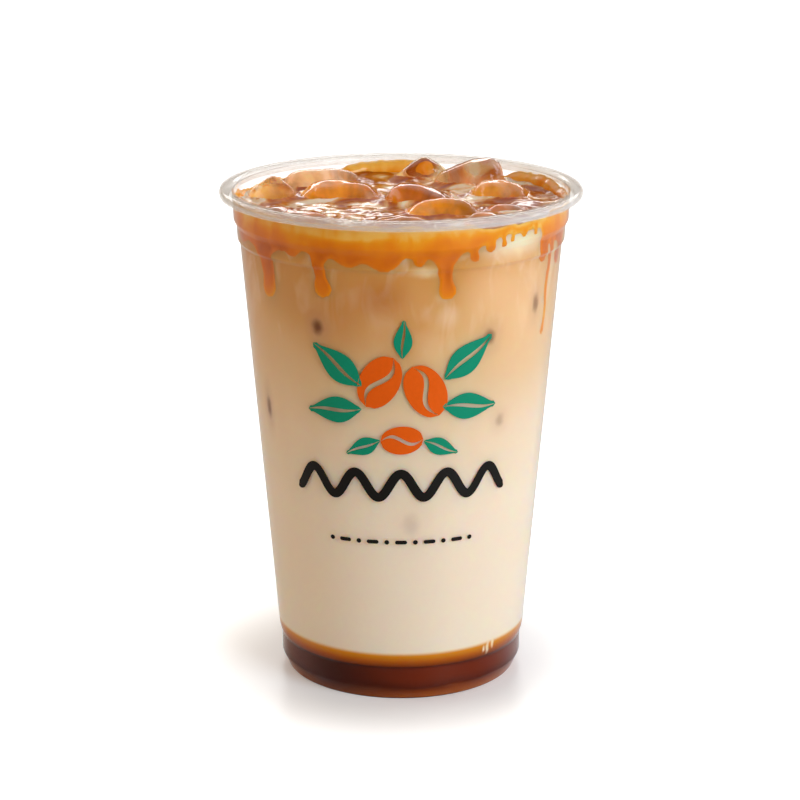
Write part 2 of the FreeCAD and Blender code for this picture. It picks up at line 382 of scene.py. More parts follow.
# The caramel that runs down inside the wall, all in mm and degrees. Each drip is its bearing,
# width, run below the drink's surface and bulb. Reach is how far the band hangs below the
# surface and above is how far it stains the wall over it, each given at bearings round the cup.
# The pale patch is its bearing, height and half its width and height
caramel = {
    "depth": 1.1, "steps": 480, "top": 134.4, "low": 98.6, "rows": 56, "crowding": 1.35,
    "intoWall": 0.3, "offWall": 0.7, "wallRadius": 44.5, "ragged": 0.8, "sway": 0.45,
    "dripSpan": 16, "palePatch": (-20, 131.2, 19, 2.9),
    "reach": [
        (-100, 4.5), (-70, 4.6), (-60, 6.0), (-50, 6.2), (-42, 5.4), (-34, 4.2), (-25, 5.4),
        (-14, 6.0), (-4, 6.0), (2, 5.0), (8, 4.6), (16, 5.2), (22, 3.6), (27, 2.2), (30, 0.2),
        (53, 0.0), (57, 3.0), (68, 5.4), (80, 3.4), (110, 4.6), (150, 3.6), (200, 4.8),
        (235, 3.4), (260, 4.5),
    ],
    "above": [
        (-180, 4.3), (-166, 3.6), (-152, 1.6), (-140, 0.8), (-127, 2.2), (-112, 1.4), (-97, 2.9),
        (-84, 3.2), (-60, 3.4), (-30, 3.5), (0, 3.6), (22, 3.4), (28, 2.2), (54, 2.2), (60, 3.4),
        (90, 3.0), (102, 3.0), (118, 4.0), (131, 3.6), (140, 1.6), (165, 1.0), (176, 4.0),
        (180, 4.3),
    ],
    "drips": [
        (-54.0, 8.6, 19.4, 6.0), (-39.5, 3.0, 6.5, 2.6), (-28.5, 5.0, 16.4, 5.2),
        (-18.0, 7.0, 7.2, 6.0), (-6.5, 8.5, 8.2, 7.0), (5.5, 3.0, 7.0, 2.6),
        (15.5, 5.6, 16.2, 4.8), (25.0, 3.0, 6.6, 2.4), (31.0, 3.4, 4.4, 2.6), (35.5, 1.5, 3.4, 1.2),
        (39.5, 1.4, 2.4, 1.0), (45.0, 2.0, 1.6, 1.4), (51.0, 1.2, 1.8, 1.0), (58.5, 6.4, 10.5, 3.4),
        (64.0, 2.6, 31.0, 2.0), (73.0, 6.5, 13.0, 4.6), (92.0, 5.0, 15.0, 5.2),
        (112.0, 8.0, 7.5, 7.0), (131.0, 4.6, 21.0, 5.2), (158.0, 7.5, 8.5, 6.6),
        (178.0, 4.8, 17.5, 5.2), (203.0, 9.0, 7.0, 7.4), (226.0, 4.2, 24.0, 4.8),
        (247.0, 7.0, 8.0, 6.4), (271.0, 5.2, 13.5, 5.4), (289.0, 8.0, 6.6, 7.0),
    ],
}


def alongTable(table, bearing):
    # The value at a bearing, eased between the two entries that it lies between
    span = table[0][0]
    bearing = (bearing - span) % 360 + span
    entries = table + [(table[0][0] + 360, table[0][1])]
    for (start, first), (end, second) in zip(entries, entries[1:]):
        if start <= bearing <= end:
            return mix(first, second, smoothStep(start, end, bearing)) if end > start else first
    return table[-1][1]


def smoothUnion(a, b, blend):
    h = min(max(0.5 + 0.5 * (a - b) / blend, 0.0), 1.0)
    return mix(b, a, h) + blend * h * (1 - h)


def caramelRow(bearing):
    # What all heights at a bearing share: the band's two edges and the drips that are near
    level = drinkLevel / mm
    ring = bearingPlace(bearing, 1.0, 0)
    ragged = (noise.noise(ring * 9.0) + 0.6 * noise.noise(ring * 26.0)) * caramel["ragged"]
    low = level - alongTable(caramel["reach"], bearing) + ragged
    top = level + alongTable(caramel["above"], bearing) + ragged * 0.8
    near = [drip for drip in caramel["drips"]
            if abs(turnBetween(bearing, drip[0])) < caramel["dripSpan"]]
    return low, top, near


def caramelEdge(bearing, height, row):
    # How far inside the caramel's edge a place on the wall is, in mm; negative outside it
    low, top, near = row
    level = drinkLevel / mm
    inside = height - low
    for dripBearing, width, run, bulb in near:
        end = level - run
        sway = caramel["sway"] * math.sin(height * 0.45 + dripBearing)
        side = math.radians(turnBetween(bearing, dripBearing)) * caramel["wallRadius"]
        side = abs(side + sway)
        along = min(max((height - end) / run, 0.0), 1.2)
        half = width / 2 * (0.6 + 0.45 * along * along)
        neck = min(half - side, height - (end + bulb / 2))
        drop = bulb / 2 - math.hypot(side, height - (end + bulb / 2))
        funnel = min(3.2, width * 0.6)
        inside = smoothUnion(inside, smoothUnion(neck, drop, 1.0), funnel)
    return min(inside, top - height)


def caramelSauce(name, specular, roughness):
    # Caramel sauce, cooked sugar and cream: glossy, amber where thin and burnt orange where deep
    material, tree, place = newMaterial(name)
    tone = addNode(tree, "ShaderNodeAttribute", attribute_name="tone").outputs["Fac"]
    stretch = addNode(tree, "ShaderNodeMapping", {"Scale": (1, 1, 0.6)}, {"Vector": place})
    clouds = addNode(tree, "ShaderNodeTexNoise", {
        "Scale": 1 / (6 * mm), "Detail": 4.0, "Distortion": 0.6}, {"Vector": stretch})
    shift = addNode(tree, "ShaderNodeMapRange", {
        "From Min": 0.3, "From Max": 0.7, "To Min": -0.2, "To Max": 0.2}, {
        "Value": clouds})
    total = addNode(tree, "ShaderNodeMath", links={0: tone, 1: shift})
    ramp = addNode(tree, "ShaderNodeValToRGB", links={0: total})
    setRamp(ramp, [
        (0.0, "F6C058"), (0.2, "F09E14"), (0.42, "E88400"), (0.7, "D87000"), (1.0, "BA5800")])
    bump = addNode(tree, "ShaderNodeBump", {"Strength": 0.3, "Distance": 0.2 * mm},
                   {"Height": clouds})
    sauce = addNode(tree, "ShaderNodeBsdfPrincipled", {
        "IOR": 1.48, "Roughness": roughness, "Specular IOR Level": specular,
        "Subsurface Weight": 0.15, "Subsurface Scale": 1 * mm,
        "Subsurface Radius": (1.6, 0.6, 0.15)}, {
        "Base Color": ramp, "Normal": bump})
    addNode(tree, "ShaderNodeOutputMaterial", links={"Surface": sauce})
    return material


def setRamp(node, stops):
    # Gives a colour ramp its stops, each a position and a hex colour
    elements = node.color_ramp.elements
    while len(elements) < len(stops):
        elements.new(1.0)
    for element, (position, colour) in zip(elements, stops):
        element.position = position
        element.color = srgb(colour)


def makeCaramel():
    rows = caramel["rows"]
    low, top = caramel["low"] * mm, caramel["top"] * mm
    # The rows crowd together towards the band, where the detail is
    heights = [mix(low, top, 1 - (1 - k / rows) ** caramel["crowding"]) for k in range(rows + 1)]
    outer = [(radiusOn(innerWall, z) + caramel["intoWall"] * mm, z) for z in heights]
    inner = [(radiusOn(innerWall, z) - caramel["offWall"] * mm, z) for z in heights]
    coat = lathe("caramelCoat", outer + inner[::-1] + outer[:1], caramel["steps"])
    tone = coat.data.attributes.new("tone", "FLOAT", "POINT")
    level = drinkLevel / mm
    patchBearing, patchHeight, patchWidth, patchTall = caramel["palePatch"]
    shared = {}
    for vertex in coat.data.vertices:
        place = vertex.co
        radius = math.hypot(place.x, place.y)
        wallRadius = radiusOn(innerWall, place.z)
        bearing = round(bearingOf(place), 2)
        height = place.z / mm
        if bearing not in shared:
            shared[bearing] = caramelRow(bearing)
        # What lies over the stain's top edge is folded down to it and merged away
        if height > shared[bearing][1]:
            height = shared[bearing][1]
            place.z = height * mm
            wallRadius = radiusOn(innerWall, place.z)
        inside = caramelEdge(bearing, height, shared[bearing])
        above = smoothStep(level - 0.6, level, height)
        if radius > wallRadius + 0.1 * mm:
            reach = mix(-0.14, 0.3, max(smoothStep(-0.35, 0.35, inside), above))
        else:
            lump = 1 + 0.35 * noise.noise(place / (5 * mm))
            hidden = mix(-0.3, 0.3, above)
            reach = mix(hidden, -caramel["depth"] * lump, smoothStep(-0.1, 1.8, inside))
        place.x *= (wallRadius + reach * mm) / radius
        place.y *= (wallRadius + reach * mm) / radius
        below = level - height
        value = 0.1 + 0.32 * smoothStep(-2.5, 1.6, below) + 0.4 * smoothStep(1.5, 5.5, below)
        value -= 0.34 * smoothStep(9.0, 17.0, below) + 0.25 * (1 - smoothStep(0.0, 1.2, inside))
        patch = 1 - math.hypot(turnBetween(bearing, patchBearing) / patchWidth,
                               (height - patchHeight) / patchTall)
        value -= 0.36 * smoothStep(0.0, 0.9, patch)
        tone.data[vertex.index].value = min(max(value, 0.0), 1.0)
    onlySelect(coat)
    bpy.ops.object.mode_set(mode="EDIT")
    bpy.ops.mesh.select_all(action="SELECT")
    bpy.ops.mesh.remove_doubles(threshold=2 * mergeDistance)
    bpy.ops.mesh.dissolve_degenerate(threshold=2 * mergeDistance)
    bpy.ops.object.mode_set(mode="OBJECT")
    bpy.ops.object.shade_smooth()
    # The faces against the wall are wet to it, and so hardly shine
    for face in coat.data.polygons:
        face.material_index = 0 if face.normal.dot(face.center * Vector((1, 1, 0))) > 0 else 1
    onWall = caramelSauce("caramelSauceOnWall", 0.1, 0.3)
    openSauce = caramelSauce("caramelSauceOpen", 0.5, 0.12)
    return finishPiece(coat, [onWall, openSauce], ["caramel_ring"])


makeCaramel()
print("caramel made")

# The drink, all in mm: its side reaches a little into the wall, and its top is rippled
drink = {
    "intoWall": 0.08, "steps": 448, "rings": 96, "rowHeight": 4.0,
    "ripple": 0.7, "rippleLength": 6.5, "fineRipple": 0.2, "fineLength": 2.6,
    "meniscus": 1.0, "meniscusReach": 1.1, "pocket": 5.0, "pocketSlope": 1.5,
    "iceSearch": 30, "tolerance": 0.01,
}
# Painted light in the pocket under each cube: a lighter amber or pale tone that stands for the
# light which the cube lets in
cubeLightTones = [
    "E8BC90", "EAB868", "E09C28", "C27814", "F2D69A", "D69A68", "E6A83C", "E09E2C", "C67E2C",
    "CC8C3C", "CC8C3C", "CC8C3C", "CC8C3C",
]
# Ice sunk near the wall, painted on the side as a paler halo round a dark core of painted shade,
# the shaded drink seen through the ice. Each is its bearing, height, width, tallness and strength
sunkIceShade = [
    (-30.9, 105.7, 2.1, 2.9, 1.0), (33.3, 102.7, 2.2, 3.0, 0.75), (56.6, 108.9, 1.8, 3.8, 0.7),
    (-62.4, 79.2, 1.5, 4.4, 0.8), (40.7, 78.8, 1.8, 2.4, 0.35), (-26.1, 82.5, 2.4, 3.4, 0.3),
    (4.0, 52.0, 3.0, 4.5, 0.18), (118.0, 98.0, 2.2, 3.4, 0.8), (150.0, 109.0, 2.0, 3.0, 0.6),
    (171.0, 84.0, 2.0, 3.6, 0.5), (206.0, 101.0, 2.4, 3.2, 0.9), (240.0, 88.0, 1.8, 3.8, 0.7),
    (268.0, 107.0, 2.0, 2.8, 0.8),
]
# Pale wisps that break the amber band, each its bearing, height, width and tallness
rifts = [
    (43.6, 12.4, 0.9, 3.4), (46.8, 13.2, 0.8, 2.4), (41.2, 12.0, 0.7, 1.5), (196.0, 12.6, 1.0, 3.0),
]
# Darker and paler clouds, each its bearing, height, width, tallness, strength and colour. The
# darker ones on the front left are partly painted shade and the paler ones on the front right
# partly painted light
coffeeCloudsAndLight = [
    (-22.0, 110.0, 20.0, 22.0, 0.6, "C8843C"), (-6.0, 115.0, 10.0, 8.5, 0.65, "BA7022"),
    (2.0, 104.0, 10.0, 16.0, 0.5, "D08A3A"), (-45.0, 112.0, 14.0, 14.0, 0.35, "C8904E"),
    (52.0, 110.0, 24.0, 26.0, 0.55, "F8D6AC"), (34.0, 116.0, 12.0, 14.0, 0.5, "F6D0A0"),
    (17.0, 109.5, 4.5, 5.0, 0.45, "F6DCB8"), (8.0, 121.8, 6.0, 2.4, 0.8, "F6DDB0"),
    (42.0, 127.5, 17.0, 6.5, 0.95, "FFF0D0"), (10.0, 100.0, 6.0, 8.0, 0.3, "F2D4A8"),
    (130.0, 106.0, 18.0, 16.0, 0.5, "CC8E50"), (200.0, 110.0, 20.0, 14.0, 0.5, "C6864A"),
    (255.0, 104.0, 14.0, 18.0, 0.4, "CE9250"),
]


def spotMask(tree, place, bearing, height, width, tall, sharpness):
    # A round spot on the side: 1 at its middle and 0 at its edge
    centre = bearingPlace(bearing, radiusOn(innerWall, height * mm), height * mm)
    offset = addNode(tree, "ShaderNodeVectorMath", {1: centre}, {0: place}, operation="SUBTRACT")
    scaled = addNode(tree, "ShaderNodeVectorMath", {1: (width * mm, width * mm, tall * mm)},
                     {0: offset}, operation="DIVIDE")
    away = addNode(tree, "ShaderNodeVectorMath", {}, {0: scaled}, operation="LENGTH")
    return addNode(tree, "ShaderNodeMapRange", {
        "From Min": 1.0, "From Max": sharpness}, {"Value": away.outputs["Value"]},
        interpolation_type="SMOOTHSTEP")


def mixColour(tree, factor, first, second):
    # Mixes two colours, each a node, an output or a hex colour
    node = addNode(tree, "ShaderNodeMix", data_type="RGBA")
    tree.links.new(outputOf(factor), node.inputs["Factor"])
    for socket, colour in ((6, first), (7, second)):
        if isinstance(colour, str):
            node.inputs[socket].default_value = srgb(colour)
        else:
            tree.links.new(outputOf(colour), node.inputs[socket])
    return node.outputs[2]


def milkAndCoffee():
    # Milk with espresso poured over it: pale at the foot, coffee brown and cloudy at the top,
    # soft because light goes in and comes out again. Some of its clouds and the ice sunk at the
    # wall are painted shade and painted light
    material, tree, place = newMaterial("milkCoffeePoured")
    height = addNode(tree, "ShaderNodeSeparateXYZ", links={0: place}).outputs["Z"]
    drawn = addNode(tree, "ShaderNodeMapping", {"Scale": (1, 1, 0.42)}, {"Vector": place})
    clouds = addNode(tree, "ShaderNodeTexNoise", {
        "Scale": 1 / (26 * mm), "Detail": 3.0, "Roughness": 0.5, "Distortion": 0.5},
        {"Vector": drawn})
    wisps = addNode(tree, "ShaderNodeTexNoise", {
        "Scale": 1 / (7 * mm), "Detail": 4.0, "Distortion": 1.2}, {"Vector": drawn})
    # Clouds move the height that the colour is read at
    lift = addNode(tree, "ShaderNodeMapRange", {"To Min": -9 * mm, "To Max": 9 * mm},
                   {"Value": clouds})
    atHeight = addNode(tree, "ShaderNodeMath", links={0: height, 1: lift})
    inCloud = addNode(tree, "ShaderNodeMapRange", {
        "From Min": 22 * mm, "From Max": drinkLevel}, {"Value": atHeight})
    upward = addNode(tree, "ShaderNodeValToRGB", links={0: inCloud})
    setRamp(upward, [
        (0.0, "F5E9D7"), (0.30, "F5E7D3"), (0.48, "F1DDC2"), (0.62, "E9CBA2"),
        (0.78, "E2B67C"), (0.90, "D89E58"), (1.0, "CE8A3C")])
    wispMask = addNode(tree, "ShaderNodeMapRange", {
        "From Min": 0.52, "From Max": 0.72}, {"Value": wisps})
    high = addNode(tree, "ShaderNodeMapRange", {
        "From Min": 92 * mm, "From Max": 116 * mm, "To Max": 0.5}, {"Value": height})
    wispFactor = addNode(tree, "ShaderNodeMath", links={
        0: wispMask, 1: high}, operation="MULTIPLY")
    colour = mixColour(tree, wispFactor, upward, "F6DFC2")
    # The amber band between the syrup and the milk
    edge = addNode(tree, "ShaderNodeMapRange", {
        "From Min": blendTop + 0.7 * mm, "From Max": blendTop - 0.7 * mm}, {"Value": height},
        interpolation_type="SMOOTHSTEP")
    amber = addNode(tree, "ShaderNodeMapRange", {
        "From Min": syrupTop, "From Max": blendTop}, {"Value": height})
    amberTone = addNode(tree, "ShaderNodeValToRGB", links={0: amber})
    setRamp(amberTone, [(0.0, "842F00"), (0.4, "B65C02"), (0.8, "D68A10"), (1.0, "E4A640")])
    colour = mixColour(tree, edge, colour, amberTone)
    warp = addNode(tree, "ShaderNodeTexNoise", {"Scale": 1 / (2.5 * mm)}, {"Vector": place})
    warped = addNode(tree, "ShaderNodeVectorMath", {1: (0.5, 0.5, 0.5)},
                     {0: warp.outputs["Color"]}, operation="SUBTRACT")
    warped = addNode(tree, "ShaderNodeVectorMath", {"Scale": 1.2 * mm},
                     {0: warped}, operation="SCALE")
    spotPlace = addNode(tree, "ShaderNodeVectorMath", links={0: place, 1: warped})
    for bearing, spotHeight, width, tall in rifts:
        mask = spotMask(tree, spotPlace, bearing, spotHeight, width, tall, 0.1)
        colour = mixColour(tree, mask, colour, "F8E6C4")
    # Clouds of coffee and cream, partly painted shade on the front left and painted light on the
    # front right
    for bearing, spotHeight, width, tall, strength, tone in coffeeCloudsAndLight:
        mask = spotMask(tree, spotPlace, bearing, spotHeight, width, tall, 0.0)
        part = addNode(tree, "ShaderNodeMath", {1: strength}, {0: mask}, operation="MULTIPLY")
        colour = mixColour(tree, part, colour, tone)
    # Painted ice at the wall: a paler halo, then a dark core of painted shade seen through the ice
    for bearing, spotHeight, width, tall, strength in sunkIceShade:
        for grow, soft, share, tone in ((2.8, 0.0, 0.5, "BC9078"), (1.15, 0.15, 0.9, "72421C")):
            mask = spotMask(tree, spotPlace, bearing, spotHeight, width * grow,
                            tall * grow * 0.9, soft)
            part = addNode(tree, "ShaderNodeMath", {1: share * strength}, {0: mask},
                           operation="MULTIPLY")
            colour = mixColour(tree, part, colour, tone)
    liquid = addNode(tree, "ShaderNodeBsdfPrincipled", {
        "IOR": 1.35, "Roughness": 0.35, "Specular IOR Level": 0.1, "Subsurface Weight": 0.8,
        "Subsurface Scale": 1 * mm, "Subsurface Radius": (8.0, 4.5, 2.2)}, {"Base Color": colour})
    addNode(tree, "ShaderNodeOutputMaterial", links={"Surface": liquid})
    return material


def coffeeTop():
    # The drink's open surface: wet and rippled, coffee with drawn-out swirls of cream, and in the
    # pocket under each cube a painted light: the cube's own lighter tone, patched lighter and
    # darker
    material, tree, place = newMaterial("coffeeCreamSwirled")
    underIce = addNode(tree, "ShaderNodeAttribute", attribute_name="underIce").outputs["Fac"]
    pocketLight = addNode(tree, "ShaderNodeAttribute", attribute_name="pocketLight").outputs["Color"]
    swirl = addNode(tree, "ShaderNodeTexNoise", {
        "Scale": 1 / (14 * mm), "Detail": 3.0, "Distortion": 2.0}, {"Vector": place})
    cream = addNode(tree, "ShaderNodeValToRGB", links={0: swirl})
    setRamp(cream, [(0.38, "A85006"), (0.48, "C87614"), (0.56, "EBC084"), (0.62, "FDEFDD")])
    # Painted light in the pockets: patches a few millimetres across, lighter and darker
    lightPatches = addNode(tree, "ShaderNodeTexNoise", {
        "Scale": 1 / (4.5 * mm), "Detail": 3.0}, {"Vector": place})
    light = addNode(tree, "ShaderNodeMapRange", {
        "From Min": 0.35, "From Max": 0.65, "To Min": 0.85, "To Max": 1.5}, {
        "Value": lightPatches})
    patchedLight = addNode(tree, "ShaderNodeHueSaturation", links={"Color": pocketLight, "Value": light})
    colour = mixColour(tree, underIce, cream, patchedLight)
    ripples = addNode(tree, "ShaderNodeTexNoise", {"Scale": 1 / (1.8 * mm), "Detail": 2.0},
                      {"Vector": place})
    bump = addNode(tree, "ShaderNodeBump", {"Strength": 0.2, "Distance": 0.25 * mm},
                   {"Height": ripples})
    liquid = addNode(tree, "ShaderNodeBsdfPrincipled", {
        "IOR": 1.35, "Roughness": 0.06, "Subsurface Weight": 0.5, "Subsurface Scale": 1 * mm,
        "Subsurface Radius": (3.0, 1.6, 0.8)}, {
        "Base Color": colour, "Normal": bump})
    addNode(tree, "ShaderNodeOutputMaterial", links={"Surface": liquid})
    return material


def nearestIce(place):
    # The cube nearest to a place at the drink's surface, and how far outside it the place is
    nearest, best = 0, 1.0
    for index, tree in enumerate(iceTrees):
        found = tree.find_nearest(place, drink["iceSearch"] * mm)
        if found[0] is None:
            continue
        away = found[3]
        hit = tree.ray_cast(place, Vector((0, 0, 1)))
        if hit[0] is not None and hit[1].z > 0:
            away = -away
        if away < best:
            nearest, best = index, away
    return nearest, best / mm


def sideRows(low, high, step):
    # Points up the inner wall between two heights, reaching a little into it
    into = drink["intoWall"] * mm
    kept = [(r + into, z) for r, z in innerWall if low + 0.1 * mm < z < high - 0.1 * mm]
    heights = {z for r, z in kept}
    count = max(1, round((high - low) / step))
    for k in range(count + 1):
        z = mix(low, high, k / count)
        if all(abs(z - other) > 0.4 * step for other in heights) or k in (0, count):
            kept.append((radiusOn(innerWall, z) + into, z))
    return sorted(kept, key=lambda point: point[1])


def makeDrink():
    side = sideRows(syrupTop, drinkLevel, drink["rowHeight"] * mm)
    edge = side[-1][0]
    rings = drink["rings"]
    top = [(edge * (1 - k / rings), drinkLevel) for k in range(1, rings + 1)]
    body = lathe("drinkBody", [(0.0, syrupTop)] + side + top + [(0.0, syrupTop)], drink["steps"])
    data = body.data
    onTop = set()
    underIce = data.attributes.new("underIce", "FLOAT", "POINT")
    pocketLight = data.attributes.new("pocketLight", "FLOAT_COLOR", "POINT")
    litTones = [srgb(tone) for tone in cubeLightTones]
    wallClear = edge - caramel["depth"] * mm
    tolerance = drink["tolerance"] * mm
    for vertex in data.vertices:
        place = vertex.co
        fromAxis = math.hypot(place.x, place.y)
        if place.z < drinkLevel - tolerance or fromAxis > edge - tolerance:
            continue
        at = Vector((place.x, place.y, 0)) / mm
        cube, away = nearestIce(place)
        wave = noise.noise(at / drink["rippleLength"]) * drink["ripple"]
        wave += noise.noise(at / drink["fineLength"] + Vector((4, 4, 4))) * drink["fineRipple"]
        atWall = math.exp(-max(wallClear - fromAxis, 0) / mm / drink["meniscusReach"])
        atIce = math.exp(-max(away, 0.0) / drink["meniscusReach"])
        rise = wave + drink["meniscus"] * max(atWall, atIce)
        sunk = min(max(-away, 0.0) * drink["pocketSlope"], drink["pocket"])
        place.z += (rise - sunk) * mm
        onTop.add(vertex.index)
        # The pocket's painted light is that of the nearest cube
        underIce.data[vertex.index].value = smoothStep(-0.2, 0.8, -away)
        pocketLight.data[vertex.index].color = litTones[cube]
    for face in data.polygons:
        face.material_index = 1 if onTop.intersection(face.vertices) else 0
    onlySelect(body)
    bpy.ops.object.shade_smooth_by_angle(angle=math.radians(60))
    return finishPiece(body, [milkAndCoffee(), coffeeTop()],
                       ["caramel_blend", "milk", "coffee"])


makeDrink()
print("drink made")


def syrupMaterial():
    # Caramel syrup: dark brown, made almost black on the front left as a painted shade, and lighter
    # and redder at the foot as painted light, where light comes through and glints
    material, tree, place = newMaterial("caramelSyrupDark")
    height = addNode(tree, "ShaderNodeSeparateXYZ", links={0: place}).outputs["Z"]
    drawn = addNode(tree, "ShaderNodeMapping", {"Scale": (1, 1, 2.2)}, {"Vector": place})
    streaks = addNode(tree, "ShaderNodeTexNoise", {
        "Scale": 1 / (9 * mm), "Detail": 3.0}, {"Vector": drawn})
    up = addNode(tree, "ShaderNodeMapRange", {"From Min": 0.0, "From Max": syrupTop},
                 {"Value": height})
    shift = addNode(tree, "ShaderNodeMapRange", {"To Min": -0.12, "To Max": 0.12},
                    {"Value": streaks})
    total = addNode(tree, "ShaderNodeMath", links={0: up, 1: shift})
    ramp = addNode(tree, "ShaderNodeValToRGB", links={0: total})
    # Painted light: the foot is made lighter and redder where light comes through and glints
    setRamp(ramp, [(0.0, "B06026"), (0.26, "84380A"), (0.40, "501200"), (0.62, "6A2002"),
                   (0.86, "6A2004"), (1.0, "4E1200")])
    # Painted shade: on the front left, away from the lamps, it is made almost black
    paintedShadeLeft = spotMask(tree, place, -34, 7.0, 27.0, 14.0, 0.0)
    part = addNode(tree, "ShaderNodeMath", {1: 0.9}, {0: paintedShadeLeft}, operation="MULTIPLY")
    colour = mixColour(tree, part, ramp, "340800")
    syrup = addNode(tree, "ShaderNodeBsdfPrincipled", {
        "IOR": 1.45, "Roughness": 0.3, "Specular IOR Level": 0.05}, {
        "Base Color": colour})
    addNode(tree, "ShaderNodeOutputMaterial", links={"Surface": syrup})
    return material


def makeSyrup():
    into = drink["intoWall"] * mm
    corners = cupCorners()[:cup["wallCorners"]]
    low = [(r, z) for r, z in outlinePoints(corners, cup["wall"] - into / mm) if z < syrupTop]
    rim = radiusOn(innerWall, syrupTop) + into
    outline = low + [(rim, syrupTop), (rim * 0.5, syrupTop), (0.0, syrupTop), low[0]]
    body = lathe("syrupLayer", outline, drink["steps"] // 2)
    onlySelect(body)
    bpy.ops.object.shade_smooth_by_angle(angle=math.radians(30))
    return finishPiece(body, [syrupMaterial()], ["caramel_syrup"])


makeSyrup()
print("syrup made")

# The print on the outside, in mm along the wall from the front and up it
inks = {"thickness": 0.05, "lift": 0.03, "slice": 1.6}
beans = [
    # Along, height, length, width, and tilt in degrees
    (-5.6, 92.0, 15.5, 10.4, 62.0), (6.4, 89.5, 15.5, 10.4, 118.0), (0.2, 76.0, 11.5, 7.8, 4.0),
]
leaves = [
    (-17.0, 96.0, 17.0, 7.6, 142.0), (-18.5, 83.5, 16.0, 7.0, 186.0), (17.8, 98.0, 17.0, 7.6, 40.0),
    (19.0, 84.5, 16.0, 7.0, -4.0), (-10.5, 73.8, 10.5, 4.6, 204.0), (11.0, 73.8, 10.5, 4.6, -22.0),
    (0.5, 103.8, 10.5, 4.6, 88.0),
]
halfOval = {"corners": 22, "gap": 0.075, "rib": 0.10, "leafRib": 0.5, "beanRib": 1.6, "edge": 1.6}
waveBand = {"height": 63.2, "length": 61.0, "swing": 3.4, "waves": 5, "stroke": 2.5, "points": 260}
dashRow = {
    "height": 47.0, "length": 38.0, "marks": 11, "dash": (3.2, 1.1), "dot": (1.3, 1.3),
    "corners": 20,
}


def flatShape(outline):
    # A disc of as many corners as the outline, moved to it and cut into upright slices that can
    # follow the wall
    bpy.ops.object.select_all(action="DESELECT")
    bpy.ops.mesh.primitive_circle_add(vertices=len(outline), radius=mm, fill_type="NGON")
    piece = bpy.context.object
    for vertex, (x, y) in zip(piece.data.vertices, outline):
        vertex.co = (x * mm, y * mm, 0)
    left = min(x for x, y in outline)
    right = max(x for x, y in outline)
    bpy.ops.object.mode_set(mode="EDIT")
    bpy.ops.mesh.select_all(action="SELECT")
    bpy.ops.mesh.quads_convert_to_tris()
    cuts = int((right - left) / inks["slice"])
    for k in range(1, cuts + 1):
        bpy.ops.mesh.select_all(action="SELECT")
        bpy.ops.mesh.bisect(plane_co=((left + k * inks["slice"]) * mm, 0, 0), plane_no=(1, 0, 0))
    bpy.ops.object.mode_set(mode="OBJECT")
    return piece


def splitOval(along, height, length, width, tilt, pointed):
    # The two halves of a bean or a leaf, parted by a thin curved line
    halves = []
    cosTilt = math.cos(math.radians(tilt))
    sinTilt = math.sin(math.radians(tilt))
    gap = halfOval["gap"] * width
    bend = halfOval["rib"] * width * halfOval["leafRib" if pointed else "beanRib"]
    count = halfOval["corners"]
    for side in (1, -1):
        outline = []
        for k in range(count + 1):
            t = k / count
            rib = bend * math.sin(math.tau * t)
            outline.append(((t - 0.5) * length, rib + side * gap * math.sin(math.pi * t)))
        for k in range(count - 1, 0, -1):
            t = k / count
            if pointed:
                reach = math.sin(math.pi * t) * (1.0 + 0.25 * math.cos(math.pi * t))
            else:
                reach = math.sqrt(1 - (2 * t - 1) ** 2)
            reach = max(width / 2 * reach, gap * halfOval["edge"])
            outline.append(((t - 0.5) * length, side * reach))
        turned = [(along + x * cosTilt - y * sinTilt, height + x * sinTilt + y * cosTilt)
                  for x, y in outline]
        halves.append(flatShape(turned))
    return halves


def printOn(name, shapes, material):
    # Joins flat shapes, lays them round the wall and gives the ink its thickness
    onlySelect(shapes[0])
    for shape in shapes:
        shape.select_set(True)
    if len(shapes) > 1:
        bpy.ops.object.join()
    piece = bpy.context.object
    piece.name = piece.data.name = name
    heights = [vertex.co.y for vertex in piece.data.vertices]
    middle = radiusOn(outerWall, (min(heights) + max(heights)) / 2)
    for vertex in piece.data.vertices:
        along, height = vertex.co.x, vertex.co.y
        radius = radiusOn(outerWall, height) + inks["lift"] * mm
        vertex.co = bearingPlace(math.degrees(along / middle), radius, height)
    film = piece.modifiers.new("film", "SOLIDIFY")
    film.thickness = inks["thickness"] * mm
    film.offset = 0.0
    bpy.ops.object.modifier_apply(modifier=film.name)
    bpy.ops.object.mode_set(mode="EDIT")
    bpy.ops.mesh.select_all(action="SELECT")
    bpy.ops.mesh.normals_make_consistent(inside=False)
    bpy.ops.object.mode_set(mode="OBJECT")
    return finishPiece(piece, [material])


def printInk(name, colour):
    # Screen printing ink, laid on thick: even, half glossy, with the mesh's faint mottle
    material, tree, place = newMaterial(name)
    mottle = addNode(tree, "ShaderNodeTexNoise", {"Scale": 1 / (0.8 * mm), "Detail": 2.0},
                     {"Vector": place})
    light = addNode(tree, "ShaderNodeMapRange", {"To Min": 0.94, "To Max": 1.06},
                    {"Value": mottle})
    tone = addNode(tree, "ShaderNodeHueSaturation", {"Color": srgb(colour)}, {"Value": light})
    ink = addNode(tree, "ShaderNodeBsdfPrincipled", {
        "IOR": 1.5, "Roughness": 0.4, "Specular IOR Level": 0.15}, {
        "Base Color": tone})
    addNode(tree, "ShaderNodeOutputMaterial", links={"Surface": ink})
    return material


